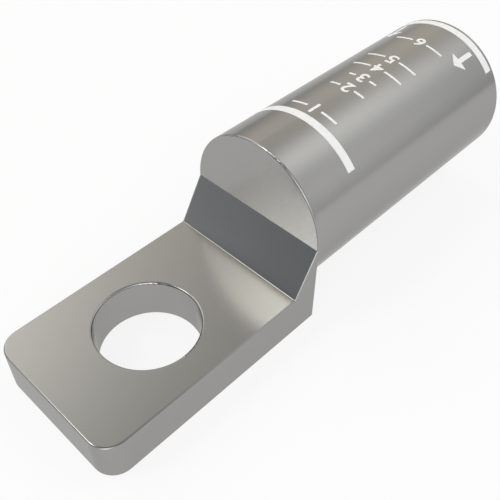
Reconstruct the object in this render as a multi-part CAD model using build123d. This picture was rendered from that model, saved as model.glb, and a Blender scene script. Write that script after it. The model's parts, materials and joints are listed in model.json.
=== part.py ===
from build123d import *
from math import radians, tan
import os

# All lengths are in millimetres and all angles in degrees.
# Origin: centre of the bolt hole, on the flat underside that is bolted down.
# +X runs along the barrel towards its open mouth, +Z points up off the mounting face.

# Barrel: the round tube that is pressed onto the cable.
barrel_diameter = 22.2
barrel_length = 42.9        # half-round face to open mouth
barrel_clearance = 1.8      # gap left under the barrel when the tongue lies flat
bore_diameter = 15.5
bore_end_metal = 3.0        # metal left between the drill point and the half-round face
drill_point_angle = 118.0
mouth_chamfer = 1.0         # lead-in for the cable strands, at 45 degrees

# Tongue: the flat pad that is bolted down.
tongue_width = 22.1
tongue_thickness = 6.35
hole_to_tip = 15.4          # bolt hole axis to the front edge
hole_to_step = 19.8         # bolt hole axis to the half-round face
corner_radius = 3.0
bolt_hole_diameter = 13.9

# Ramp: the slope that joins the tongue to the barrel at the height of the barrel's axis.
ramp_angle = 59.8
ramp_foot_radius = 0.15

# Every sharp outer edge is broken by this radius.
edge_radius = 0.27

barrel_radius = barrel_diameter / 2
axis_height = barrel_clearance + barrel_radius
mouth_x = hole_to_step + barrel_length
# The tongue's block ends just behind the half-round face, so it covers the barrel's rounded rim.
block_end_x = hole_to_step + edge_radius


def across_barrel(x):
    """Plane square to the barrel's axis at x, facing the mouth."""
    return Plane(origin=(x, 0, axis_height), z_dir=(1, 0, 0))


def barrel():
    """Solid round bar behind the half-round face, with both rims rounded."""
    bar = extrude(across_barrel(hole_to_step) * Circle(barrel_radius), barrel_length)
    return fillet(bar.edges().filter_by(GeomType.CIRCLE), edge_radius)


def tongue_profile():
    """Side view of the tongue: flat pad, foot radius and ramp, closed by the block's rear face."""
    ramp_slope = tan(radians(ramp_angle))
    foot_x = hole_to_step - (axis_height - tongue_thickness) / ramp_slope
    ramp_top_z = axis_height + (block_end_x - hole_to_step) * ramp_slope
    outline = Plane.XZ * Polyline(
        (-hole_to_tip, 0),
        (block_end_x, 0),
        (block_end_x, ramp_top_z),
        (foot_x, tongue_thickness),
        (-hole_to_tip, tongue_thickness),
        close=True,
    )
    section = make_face(outline)
    foot = section.vertices().sort_by_distance((foot_x, 0, tongue_thickness))[0]
    return fillet(foot, ramp_foot_radius)


def sharp_edges(block):
    """Edges where two faces meet at an angle, apart from the top one, which the barrel buries."""
    smooth_angle = 1.0

    def is_sharp(edge):
        normals = [face.normal_at(edge @ 0.5) for face in block.faces() if edge in face.edges()]
        return any(normal.get_angle(normals[0]) > smooth_angle for normal in normals)

    buried = block.edges().sort_by(Axis.Z)[-1]
    return [edge for edge in block.edges() if edge != buried and is_sharp(edge)]


def tongue():
    """Flat pad with rounded front corners, bolt hole and ramp, with its edges broken."""
    block = extrude(tongue_profile(), tongue_width / 2, both=True)
    front_corners = block.edges().filter_by(Axis.Z).group_by(Axis.X)[0]
    block = fillet(front_corners, corner_radius)
    block -= extrude(Circle(bolt_hole_diameter / 2), tongue_thickness)
    return fillet(sharp_edges(block), edge_radius)


def wire_bore():
    """Drilled bore with its conical end and the lead-in at the mouth, as the space they take."""
    bore_radius = bore_diameter / 2
    cone_length = bore_radius / tan(radians(drill_point_angle / 2))
    tip_x = hole_to_step + bore_end_metal
    outline = Plane.XZ * Polyline(
        (tip_x, axis_height),
        (tip_x + cone_length, axis_height + bore_radius),
        (mouth_x - mouth_chamfer, axis_height + bore_radius),
        (mouth_x, axis_height + bore_radius + mouth_chamfer),
        (mouth_x, axis_height),
        close=True,
    )
    return revolve(make_face(outline), Axis((0, 0, axis_height), (1, 0, 0)))


def lug():
    """The whole lug: one piece of metal."""
    return barrel() + tongue() - wire_bore()


os.makedirs("parts", exist_ok=True)
export_step(lug(), "parts/lug.step")
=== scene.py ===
import bmesh
import bpy
import json
from math import ceil, cos, pi, radians, sin
from mathutils import Matrix, Quaternion, Vector


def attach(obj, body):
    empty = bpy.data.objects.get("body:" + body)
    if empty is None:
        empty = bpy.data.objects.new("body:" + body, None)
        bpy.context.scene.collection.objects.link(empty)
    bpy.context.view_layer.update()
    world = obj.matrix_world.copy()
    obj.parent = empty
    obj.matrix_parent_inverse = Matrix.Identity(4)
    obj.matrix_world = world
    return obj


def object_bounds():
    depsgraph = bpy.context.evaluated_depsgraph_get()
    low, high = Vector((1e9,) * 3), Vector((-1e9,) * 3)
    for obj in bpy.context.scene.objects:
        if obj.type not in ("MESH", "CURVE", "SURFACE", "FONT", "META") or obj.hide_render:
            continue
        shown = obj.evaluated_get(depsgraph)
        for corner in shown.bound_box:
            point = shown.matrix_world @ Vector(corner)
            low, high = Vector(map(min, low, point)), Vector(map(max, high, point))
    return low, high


# All lengths are in metres, in the frame of the CAD model: the origin is the centre of the bolt hole
# on the tongue's underside, +X runs along the barrel to its open mouth and +Z is up.

MM = 0.001

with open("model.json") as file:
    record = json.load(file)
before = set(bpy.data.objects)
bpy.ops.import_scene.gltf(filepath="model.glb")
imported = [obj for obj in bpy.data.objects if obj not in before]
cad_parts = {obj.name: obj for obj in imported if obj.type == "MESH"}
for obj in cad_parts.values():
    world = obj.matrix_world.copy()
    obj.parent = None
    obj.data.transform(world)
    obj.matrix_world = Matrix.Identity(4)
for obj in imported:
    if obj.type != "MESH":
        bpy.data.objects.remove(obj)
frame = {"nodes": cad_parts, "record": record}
cad_low, cad_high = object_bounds()

# The barrel, read from the frame: its axis is the wire bore's, and its mouth is the model's far end.
# Its length is that of the CAD source.
wire_bore = next(m for m in frame["record"]["mounts"] if m["name"] == "wire_bore")
axis_height = wire_bore["pos_m"][2]
barrel_radius = cad_high.y
mouth_x = cad_high.x
barrel_length = 42.9 * MM
half_round_x = mouth_x - barrel_length

# Ink on the barrel: thin closed skins, in flat stretches round it
ink_height = 0.012 * MM         # of the ink's top above the metal
ink_depth = 0.02 * MM           # of the ink's underside in the metal
ink_stretch = 0.2 * MM
merge_distance = 0.001 * MM     # points of a print that are this close become one
cut_tolerance = 0.0005 * MM     # points this close to a cut lie on it

# Bands round the barrel. Places along it are measured from the half-round face.
band_half_angle = radians(51.8)
band_width = 1.3 * MM
front_band_start = 7.88 * MM
rear_band_to_mouth = 0.65 * MM

# Rows of a numeral between two dashes, on evenly spaced lines of which two stay bare
first_line = 10.97 * MM
line_pitch = 3.422 * MM
# The line that each row is on, and half the angle that it spans, in degrees
number_rows = ((0, 20), (2, 15), (3, 12), (4, 22), (5, 22), (7, 21))
cap_height = 2.3 * MM
numeral_boldness = 0.02         # share of the letter size added all round each stroke
numeral_gap = 1.2 * MM          # from a numeral's middle to the dashes beside it
dash_width = 0.38 * MM

# Arrows on either side of the top line, which point to the tongue
arrow_place = 37.9 * MM         # of an arrow's middle
arrow_angle = radians(32)       # from the top line
arrow_length = 4.6 * MM
arrow_head = 3.2 * MM           # across the head
arrow_shaft = 0.76 * MM         # across the shaft

# Satin metal. Its tint drifts over a coarse noise, and its gloss and slope vary over a fine one.
# The scales of noises are per metre.
metal_tints = ((0.340, 0.336, 0.326, 1.0), (0.350, 0.346, 0.336, 1.0))
metal_edge_tint = (0.70, 0.70, 0.70, 1.0)   # at grazing angles
metal_cloud = {"Scale": 260.0, "Detail": 4.0}
metal_grain = {"Scale": 5200.0, "Detail": 3.0}
metal_roughness = {"To Min": 0.18, "To Max": 0.22}
metal_bump = {"Strength": 0.05, "Distance": 0.02 * MM}

# Matt white marking ink
ink_tints = ((0.90, 0.90, 0.90, 1.0), (0.96, 0.96, 0.95, 1.0))
ink_cloud = {"Scale": 900.0, "Detail": 3.0}
ink_roughness = 0.5

# Floor: a pale board that shows white, and keeps part of the object's shadow
floor_size = 6.0
floor_paint = (0.93, 0.93, 0.93, 1.0)
floor_glow = 0.85               # share of white in what the camera and reflections see
white = (1.0, 1.0, 1.0, 1.0)

# Studio light: a sky that darkens upwards, and soft round lights far off
sky_low = (0.260, 0.294, 0.322)     # at the horizon
sky_high = (0.118, 0.125, 0.128)    # overhead
lights = (
    # bearing and height in degrees, narrowness, strength, colour
    (147, 44, 60, 3.5, (0.94, 1.00, 1.13)),
    (137, 52, 60, 2.75, (1.09, 1.00, 0.76)),
    (144, 50.5, 400, 7.6, (0.99, 1.00, 0.99)),
    (86, 40, 15, 1.8, (1.03, 1.00, 0.94)),
    (-10, 50, 15, 1.22, (1.00, 1.00, 0.99)),
    (-106, 24, 6.3, 0.73, (1.00, 1.00, 1.00)),
    (-45, 23, 13, 0.68, (1.03, 1.00, 0.99)),
    (34, 21, 9.5, 0.71, (1.12, 1.00, 0.82)),
    (-52, 2, 30, 0.16, (1.14, 1.00, 0.90)),
    (124, 3, 14, 0.34, (1.10, 1.00, 0.96)),
    (-138, 50, 30, 1.6, (1.00, 1.00, 1.02)),
    (-148, 14, 26, 3.2, (1.00, 1.00, 1.00)),
)

# Camera, fitted to the edges in the photo
camera_place = Vector((-31.21, -48.13, 76.98)) * MM
camera_heading = radians(43.926)
camera_drop = radians(45.620)   # how far it looks down
camera_roll = radians(0.403)
camera_lens = 50.691            # in millimetres, as is the sensor
camera_sensor = 36.0
camera_clip_start = 1 * MM

# Sockets of a Mix node that mixes colours. Their names stand for others too, so they go by number.
MIX_FACTOR, MIX_FROM, MIX_TO, MIX_RESULT = 0, 6, 7, 2


def add_object(name, data):
    """An object with that data, in the scene."""
    added = bpy.data.objects.new(name, data)
    bpy.context.scene.collection.objects.link(added)
    return added


def add_node(tree, kind, inputs=None, **settings):
    """A node of that kind, with settings as attributes and inputs as values or linked sockets."""
    node = tree.nodes.new("ShaderNode" + kind)
    for name, value in settings.items():
        setattr(node, name, value)
    for key, value in (inputs or {}).items():
        if isinstance(value, bpy.types.NodeSocket):
            tree.links.new(value, node.inputs[key])
        else:
            node.inputs[key].default_value = value
    return node


def new_material(name):
    """An empty node material and its node tree."""
    material = bpy.data.materials.new(name)
    material.use_nodes = True
    material.node_tree.nodes.clear()
    return material, material.node_tree


def drifting_tint(tree, place, cloud, tints):
    """A colour that drifts between two tints over soft noise."""
    noise = add_node(tree, "TexNoise", {"Vector": place, **cloud})
    mix = add_node(tree, "Mix", {
        MIX_FACTOR: noise.outputs["Fac"],
        MIX_FROM: tints[0],
        MIX_TO: tints[1],
    }, data_type="RGBA")
    return mix.outputs[MIX_RESULT]


def satin_metal():
    """Fine-grained plated aluminium."""
    material, tree = new_material("satin_metal")
    place = add_node(tree, "TexCoord").outputs["Object"]
    grain = add_node(tree, "TexNoise", {"Vector": place, **metal_grain}).outputs["Fac"]
    roughness = add_node(tree, "MapRange", {"Value": grain, **metal_roughness})
    bump = add_node(tree, "Bump", {"Height": grain, **metal_bump})
    shader = add_node(tree, "BsdfPrincipled", {
        "Base Color": drifting_tint(tree, place, metal_cloud, metal_tints),
        "Metallic": 1.0,
        "Specular Tint": metal_edge_tint,
        "Roughness": roughness.outputs["Result"],
        "Normal": bump.outputs["Normal"],
    })
    add_node(tree, "OutputMaterial", {"Surface": shader.outputs["BSDF"]})
    return material


def white_ink():
    """Matt white marking ink."""
    material, tree = new_material("white_ink")
    place = add_node(tree, "TexCoord").outputs["Object"]
    shader = add_node(tree, "BsdfPrincipled", {
        "Base Color": drifting_tint(tree, place, ink_cloud, ink_tints),
        "Roughness": ink_roughness,
    })
    add_node(tree, "OutputMaterial", {"Surface": shader.outputs["BSDF"]})
    return material


def floor_white():
    """Pale paint that glows white where the camera, a reflection or a see-through part shows it."""
    material, tree = new_material("floor_white")
    rays = add_node(tree, "LightPath").outputs
    seen = rays["Is Camera Ray"]
    for ray in ("Is Glossy Ray", "Is Transmission Ray"):
        seen = add_node(tree, "Math", {0: seen, 1: rays[ray]}, operation="MAXIMUM").outputs["Value"]
    share = add_node(tree, "Math", {0: seen, 1: floor_glow}, operation="MULTIPLY")
    paint = add_node(tree, "BsdfDiffuse", {"Color": floor_paint})
    glow = add_node(tree, "Emission", {"Color": white, "Strength": 1.0})
    surface = add_node(tree, "MixShader", {
        0: share.outputs["Value"],
        1: paint.outputs["BSDF"],
        2: glow.outputs["Emission"],
    })
    add_node(tree, "OutputMaterial", {"Surface": surface.outputs["Shader"]})
    return material


def soft_light(tree, direction, bearing, height, narrowness, strength, colour):
    """Light from a round patch of sky, brightest at its bearing and height in degrees.

    It fades as e to the power of narrowness * (cosine of the angle from there - 1)."""
    heading = radians(bearing)
    rise = radians(height)
    towards = (cos(heading) * cos(rise), sin(heading) * cos(rise), sin(rise))
    facing = add_node(tree, "VectorMath", {0: direction, 1: towards}, operation="DOT_PRODUCT")
    fading = add_node(tree, "Math", {0: facing.outputs["Value"], 1: narrowness, 2: -narrowness},
                      operation="MULTIPLY_ADD")
    patch = add_node(tree, "Math", {0: fading.outputs["Value"]}, operation="EXPONENT")
    light = add_node(tree, "VectorMath", {
        "Vector": [strength * channel for channel in colour],
        "Scale": patch.outputs["Value"],
    }, operation="SCALE")
    return light.outputs["Vector"]


def studio_world():
    """The sky with all the soft lights."""
    world = bpy.data.worlds.new("studio")
    world.use_nodes = True
    tree = world.node_tree
    tree.nodes.clear()
    direction = add_node(tree, "TexCoord").outputs["Generated"]
    upwards = add_node(tree, "SeparateXYZ", {"Vector": direction}).outputs["Z"]
    change = [high - low for low, high in zip(sky_low, sky_high)]
    sky = add_node(tree, "VectorMath", {"Vector": change, "Scale": upwards}, operation="SCALE")
    total = add_node(tree, "VectorMath", {0: sky.outputs["Vector"], 1: sky_low}).outputs["Vector"]
    for light in lights:
        lit = soft_light(tree, direction, *light)
        total = add_node(tree, "VectorMath", {0: total, 1: lit}).outputs["Vector"]
    background = add_node(tree, "Background", {"Color": total, "Strength": 1.0})
    add_node(tree, "OutputWorld", {"Surface": background.outputs["Background"]})
    return world


def flat_outline(points):
    """A flat face through points (round, along), as a mesh."""
    mesh = bpy.data.meshes.new("outline")
    mesh.from_pydata([(u, v, 0.0) for u, v in points], [], [range(len(points))])
    return mesh


def flat_rectangle(round_from, round_to, along_from, along_to):
    """A flat rectangle between those places, as a mesh."""
    return flat_outline([
        (round_from, along_from),
        (round_to, along_from),
        (round_to, along_to),
        (round_from, along_to),
    ])


def flat_numeral(text, along):
    """A numeral as a flat mesh of the cap height, its middle on the barrel's top line at along.

    Its top faces the tongue."""
    curve = bpy.data.curves.new("numeral", "FONT")
    curve.body = text
    curve.offset = numeral_boldness
    writer = add_object("numeral", curve)
    bpy.context.view_layer.update()
    written = writer.evaluated_get(bpy.context.evaluated_depsgraph_get())
    mesh = bpy.data.meshes.new_from_object(written)
    bpy.data.objects.remove(writer)
    xs = [v.co.x for v in mesh.vertices]
    ys = [v.co.y for v in mesh.vertices]
    scale = cap_height / (max(ys) - min(ys))
    middle = Vector(((max(xs) + min(xs)) / 2, (max(ys) + min(ys)) / 2, 0.0))
    mesh.transform(Matrix.Scale(scale, 4) @ Matrix.Translation(-middle))
    mesh.transform(Matrix.Translation((0.0, along, 0.0)) @ Matrix.Rotation(pi, 4, "Z"))
    return mesh


def flat_arrow(round_middle):
    """A plain arrow that points from the mouth to the tongue."""
    tip = arrow_place - arrow_length / 2
    tail = arrow_place + arrow_length / 2
    neck = tip + arrow_head / 2
    half_head = arrow_head / 2
    half_shaft = arrow_shaft / 2
    return flat_outline([
        (round_middle, tip),
        (round_middle + half_head, neck),
        (round_middle + half_shaft, neck),
        (round_middle + half_shaft, tail),
        (round_middle - half_shaft, tail),
        (round_middle - half_shaft, neck),
        (round_middle - half_head, neck),
    ])


def ordered_mesh(name, shape):
    """The bmesh as a mesh whose corners and faces come in the same order in each run."""
    verts = sorted(shape.verts, key=lambda vertex: vertex.co[:])
    place = {vertex: number for number, vertex in enumerate(verts)}
    faces = []
    for face in shape.faces:
        corners = [place[vertex] for vertex in face.verts]
        first = corners.index(min(corners))
        faces.append(corners[first:] + corners[:first])
    mesh = bpy.data.meshes.new(name)
    mesh.from_pydata([vertex.co[:] for vertex in verts], [], sorted(faces))
    return mesh


def ink_piece(name, flats, ink):
    """Flat meshes of (round, along) laid on the barrel as one thin closed skin of ink.

    Round is the way round the barrel from its top towards -Y, and along is from the half-round face."""
    shape = bmesh.new()
    for flat in flats:
        shape.from_mesh(flat)
        bpy.data.meshes.remove(flat)
    bmesh.ops.remove_doubles(shape, verts=shape.verts, dist=merge_distance)
    lowest = min(v.co.x for v in shape.verts)
    highest = max(v.co.x for v in shape.verts)
    for k in range(ceil(lowest / ink_stretch), ceil(highest / ink_stretch)):
        bmesh.ops.bisect_plane(
            shape, geom=shape.verts[:] + shape.edges[:] + shape.faces[:],
            plane_co=(k * ink_stretch, 0, 0), plane_no=(1, 0, 0), dist=cut_tolerance,
        )
    top = bmesh.ops.extrude_face_region(shape, geom=shape.faces[:])["geom"]
    for vertex in shape.verts:
        vertex.co.z = -ink_depth
    for vertex in (part for part in top if isinstance(part, bmesh.types.BMVert)):
        vertex.co.z = ink_height
    for vertex in shape.verts:
        angle = vertex.co.x / barrel_radius
        radius = barrel_radius + vertex.co.z
        x = half_round_x + vertex.co.y
        vertex.co = (x, -radius * sin(angle), axis_height + radius * cos(angle))
    bmesh.ops.recalc_face_normals(shape, faces=shape.faces[:])
    mesh = ordered_mesh(name, shape)
    shape.free()
    mesh.materials.append(ink)
    piece = add_object(name, mesh)
    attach(piece, "root")


# Metal
lug = frame["nodes"]["lug"]
lug.data.materials.clear()
lug.data.materials.append(satin_metal())

# Print
ink = white_ink()
band_reach = band_half_angle * barrel_radius
rear_band_start = barrel_length - rear_band_to_mouth - band_width
for name, start in (("front_band", front_band_start), ("rear_band", rear_band_start)):
    ink_piece(name, [flat_rectangle(-band_reach, band_reach, start, start + band_width)], ink)

for number, (line, half_angle) in enumerate(number_rows, 1):
    reach = radians(half_angle) * barrel_radius
    along = first_line + line * line_pitch
    dashes = [
        flat_rectangle(side_from, side_to, along - dash_width / 2, along + dash_width / 2)
        for side_from, side_to in ((-reach, -numeral_gap), (numeral_gap, reach))
    ]
    ink_piece("number_" + str(number), [flat_numeral(str(number), along)] + dashes, ink)

for name, side in (("arrow_left", -1), ("arrow_right", 1)):
    ink_piece(name, [flat_arrow(side * arrow_angle * barrel_radius)], ink)

# Floor
half_floor = floor_size / 2
floor_mesh = flat_rectangle(-half_floor, half_floor, -half_floor, half_floor)
floor_mesh.materials.append(floor_white())
floor = add_object("floor", floor_mesh)
floor.location.z = cad_low.z

# Light
bpy.context.scene.world = studio_world()

# Camera
camera_data = bpy.data.cameras.new("camera")
camera_data.lens = camera_lens
camera_data.sensor_width = camera_sensor
camera_data.clip_start = camera_clip_start
camera = add_object("camera", camera_data)
look = Vector((
    cos(camera_heading) * cos(camera_drop),
    sin(camera_heading) * cos(camera_drop),
    -sin(camera_drop),
))
camera.location = camera_place
camera.rotation_mode = "QUATERNION"
camera.rotation_quaternion = look.to_track_quat("-Z", "Y") @ Quaternion((0, 0, 1), camera_roll)
bpy.context.scene.camera = camera

scene = bpy.context.scene
scene.view_settings.view_transform = "Standard"
